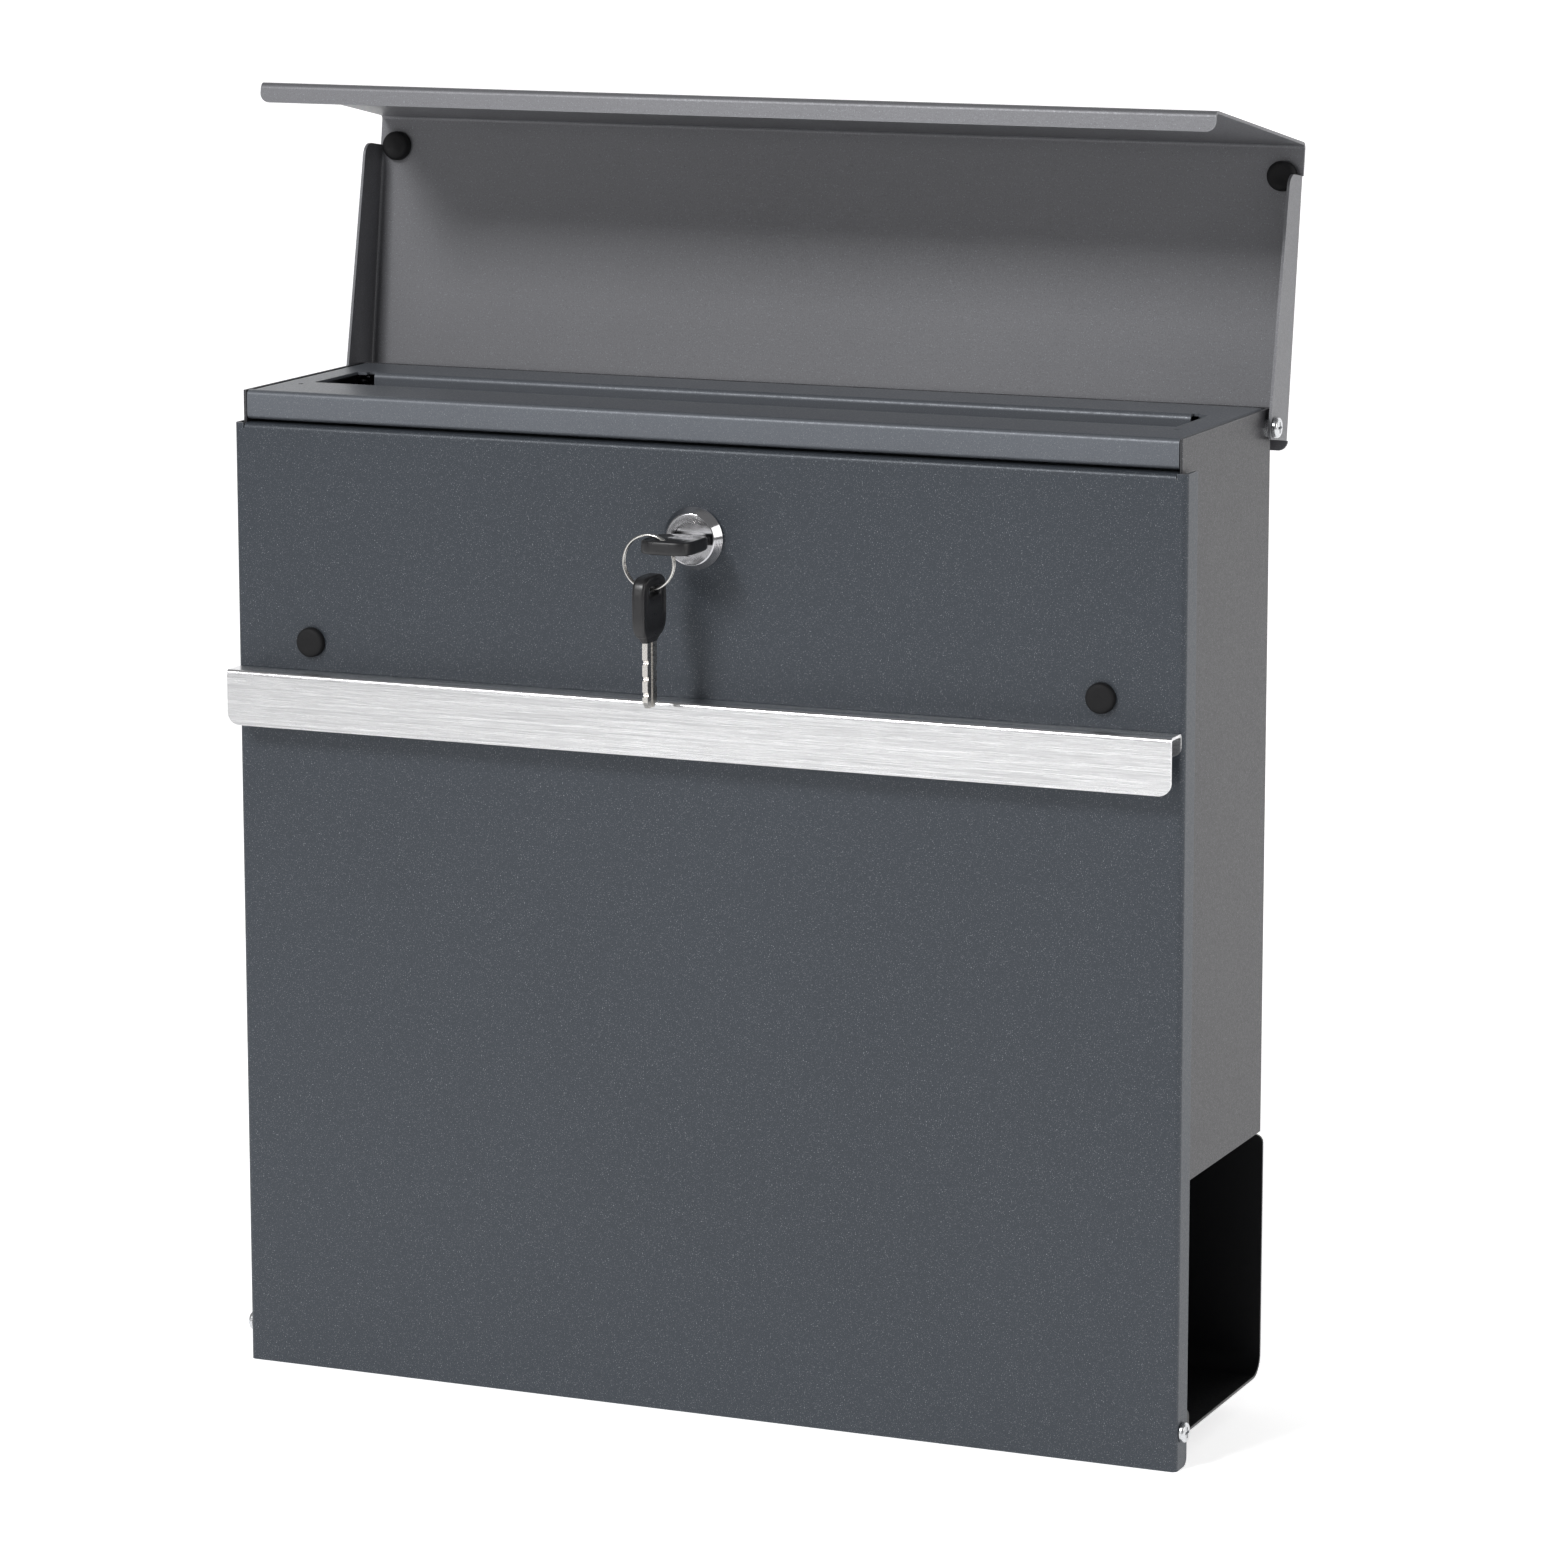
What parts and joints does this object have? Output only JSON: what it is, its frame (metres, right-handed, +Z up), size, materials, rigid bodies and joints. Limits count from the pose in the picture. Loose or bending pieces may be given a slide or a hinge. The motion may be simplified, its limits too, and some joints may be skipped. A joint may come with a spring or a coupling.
{
  "type": "parcel drop box",
  "caption": "Wall mailbox of folded sheet steel: top mail slot under a hinged lid, locking front door with handle strip, open-sided newspaper compartment below.",
  "frame": {"origin": "centre of the four wall holes, on the rear face of the back plate", "axes": "+X to the right seen from the front, +Y towards the wall, +Z up"},
  "size_m": [0.3742, 0.1568, 0.4783],
  "materials": {
    "anthracite_powder": "fine-textured metallic powder coat",
    "strip_steel": "brushed along its length",
    "rivet_steel": "plain rolled",
    "zinc_steel": "bright zinc plated",
    "lock_chrome": "polished",
    "wafer_brass": "stamped",
    "bumper_rubber": "matt",
    "key_plastic": "moulded, fine grain",
    "key_steel": "nickel plated"
  },
  "bodies": {
    "housing": {"shell": "anthracite_powder", "top_plate": "anthracite_powder", "letter_floor": "anthracite_powder", "lid_hinge_screws": "zinc_steel", "lid_hinge_washers": "zinc_steel", "lid_hinge_nuts": "zinc_steel", "door_hinge_screws": "zinc_steel", "door_hinge_washers": "zinc_steel", "door_hinge_nuts": "zinc_steel"},
    "door": {"door": "anthracite_powder", "handle_strip": "strip_steel", "strip_rivets": "rivet_steel", "door_bumpers": "bumper_rubber", "lock_housing": "lock_chrome", "lock_nut": "zinc_steel"},
    "plug": {"lock_plug": "lock_chrome", "lock_wafers": "wafer_brass", "cam": "zinc_steel", "cam_washer": "zinc_steel", "cam_screw": "zinc_steel"},
    "key": {"key_blade": "key_steel", "key_head": "key_plastic"},
    "ring": {"key_ring": "key_steel"},
    "spare_key": {"spare_key_blade": "key_steel", "spare_key_head": "key_plastic"},
    "lid": {"lid": "anthracite_powder", "lid_bumpers": "bumper_rubber"}
  },
  "joints": [
    {"name": "lid_hinge", "type": "hinge", "parent": "housing", "child": "lid", "pos_m": [0, -0.005, 0.1264], "axis": [1, 0, 0], "range_deg": [-30, 65]},
    {"name": "door_hinge", "type": "hinge", "parent": "housing", "child": "door", "pos_m": [0, -0.0925, -0.2214], "axis": [1, 0, 0], "range_deg": [0, 90]},
    {"name": "lock_turn", "type": "hinge", "parent": "door", "child": "plug", "pos_m": [0, -0.098, 0.0887], "axis": [0, -1, 0], "range_deg": [0, 90]},
    {"name": "key_pull", "type": "slide", "parent": "plug", "child": "key", "axis": [0, -1, 0], "range_m": [0, 0.03]},
    {"name": "ring_swing", "type": "hinge", "parent": "key", "child": "ring", "pos_m": [-0.00737, -0.12135, 0.0887], "axis": [0, 1, 0], "range_deg": [-15, 15]},
    {"name": "spare_key_swing", "type": "hinge", "parent": "ring", "child": "spare_key", "pos_m": [-0.00737, -0.12135, 0.0731], "axis": [1, 0, 0], "range_deg": [-25, 10]}
  ]
}
